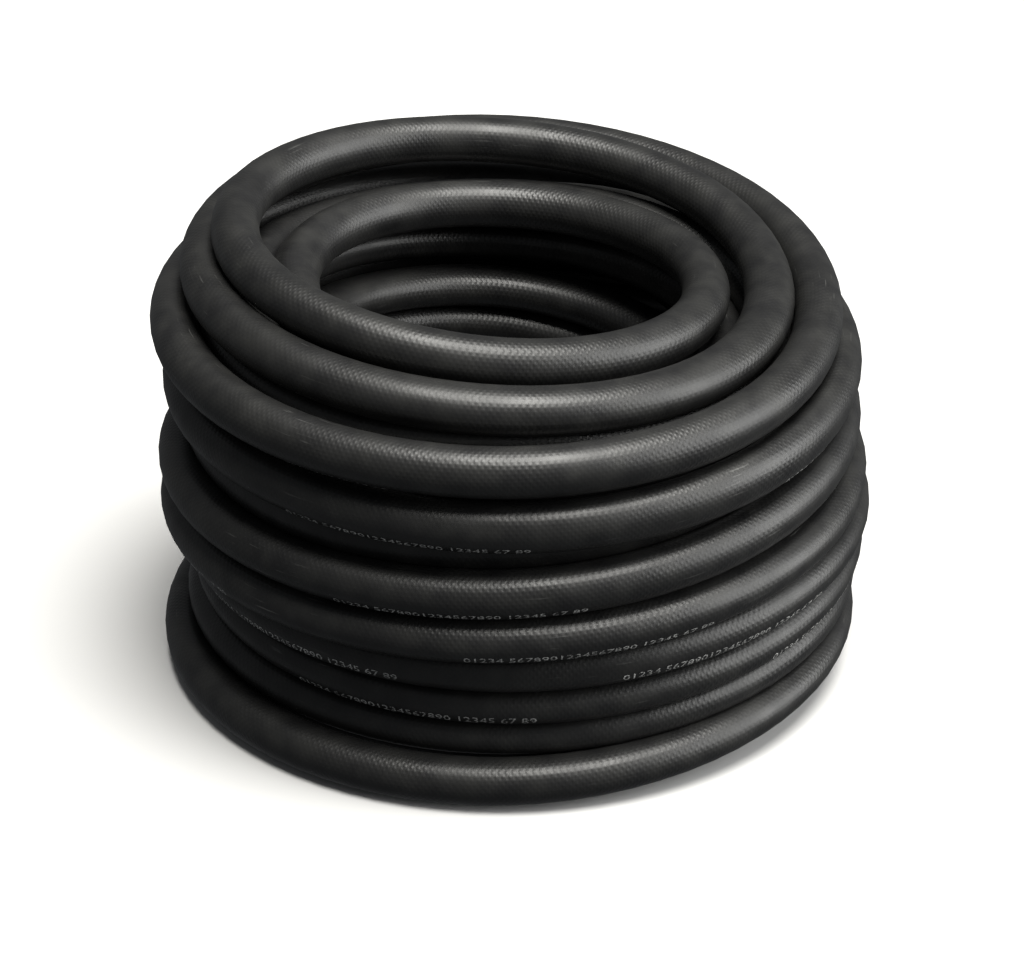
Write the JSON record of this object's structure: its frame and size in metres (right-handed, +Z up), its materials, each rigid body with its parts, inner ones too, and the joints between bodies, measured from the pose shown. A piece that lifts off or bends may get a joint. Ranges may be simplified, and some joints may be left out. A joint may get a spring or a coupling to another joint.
{
  "type": "fuel hose coil",
  "caption": "Coil of thick-walled black rubber fuel hose, wound in four columns round an open bore and standing on its end.",
  "frame": {"origin": "the middle of the coil, on the floor that it stands on", "axes": "+Z up along the coil's bore"},
  "size_m": [0.558, 0.558, 0.3568],
  "materials": {
    "hose_rubber": "satin black rubber with a fine diagonal cloth imprint"
  },
  "bodies": {
    "root": {"hose_coil": "hose_rubber"}
  },
  "joints": []
}
